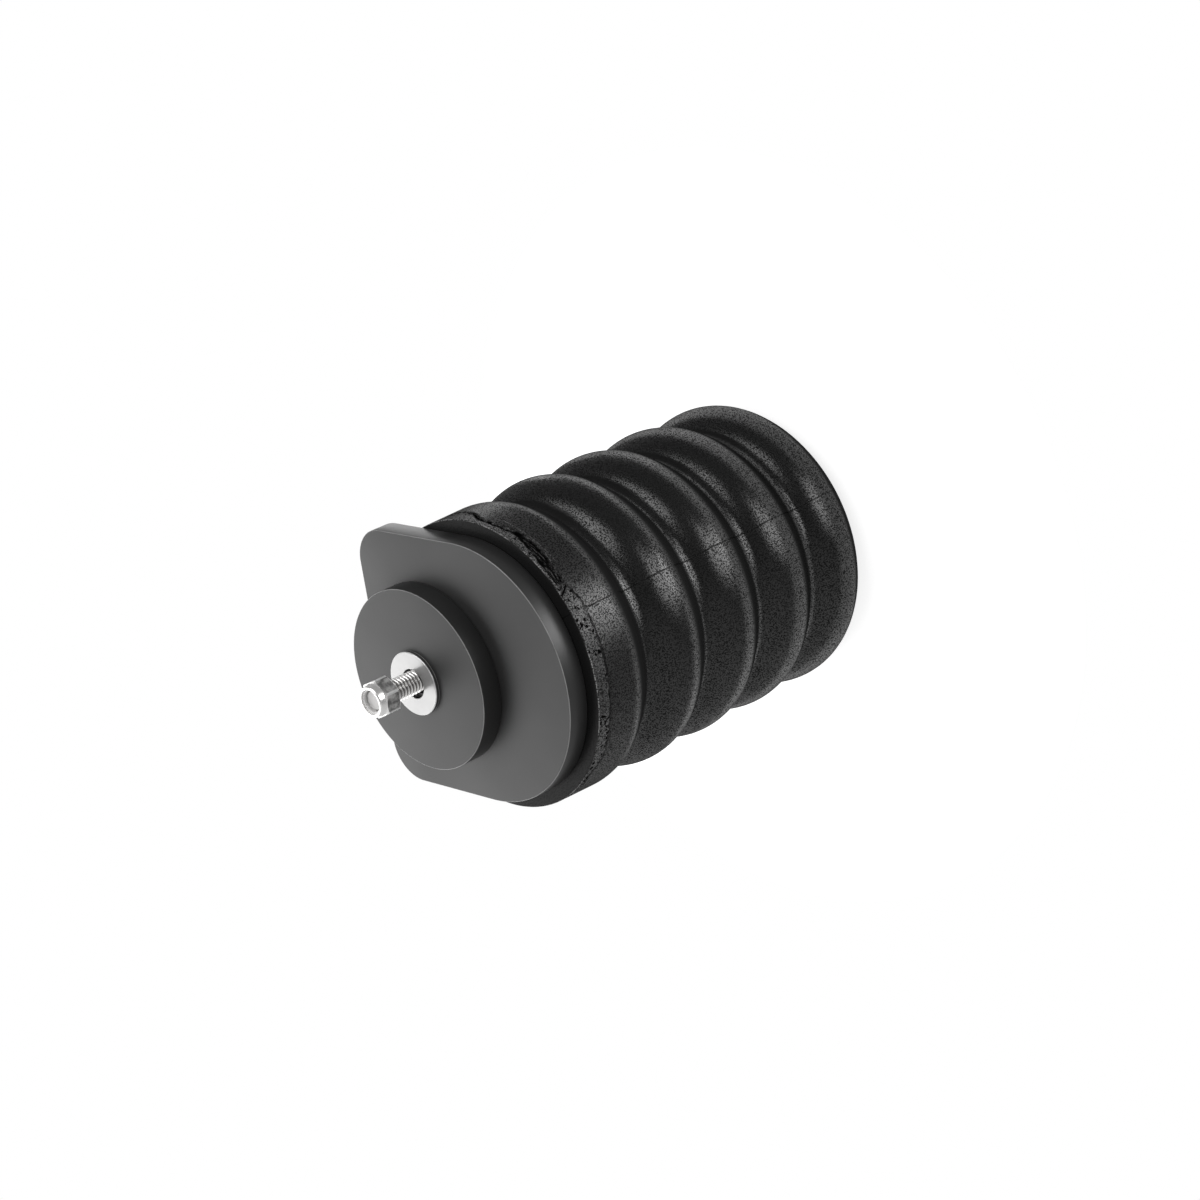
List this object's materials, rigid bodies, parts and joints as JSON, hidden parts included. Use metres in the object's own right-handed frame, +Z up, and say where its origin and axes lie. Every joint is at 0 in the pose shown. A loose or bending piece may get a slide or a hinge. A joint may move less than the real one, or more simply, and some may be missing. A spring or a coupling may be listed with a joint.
{
  "type": "helper spring",
  "caption": "Lobed foam helper spring under a D-shaped spacer plate and a round disc, with a bolt, washer and lock nut that fix it to a vehicle's frame.",
  "frame": {"origin": "centre of the free end's face, on the axis of the lobed body", "axes": "+Z up along that axis towards the bolt's threaded end, +X towards the plate's round side"},
  "size_m": [0.124, 0.124, 0.2039],
  "materials": {
    "foam": "satin moulded skin of microcellular polyurethane",
    "spacer_plastic": "satin black plastic",
    "zinc_steel": "bright zinc plating",
    "nylon": "natural nylon"
  },
  "bodies": {
    "root": {"spring_body": "foam", "spacer_plate": "spacer_plastic", "spacer_disc": "spacer_plastic", "mounting_bolt": "zinc_steel", "load_washer": "zinc_steel", "flat_washer": "zinc_steel", "lock_nut": "zinc_steel", "nut_insert": "nylon"}
  },
  "joints": []
}
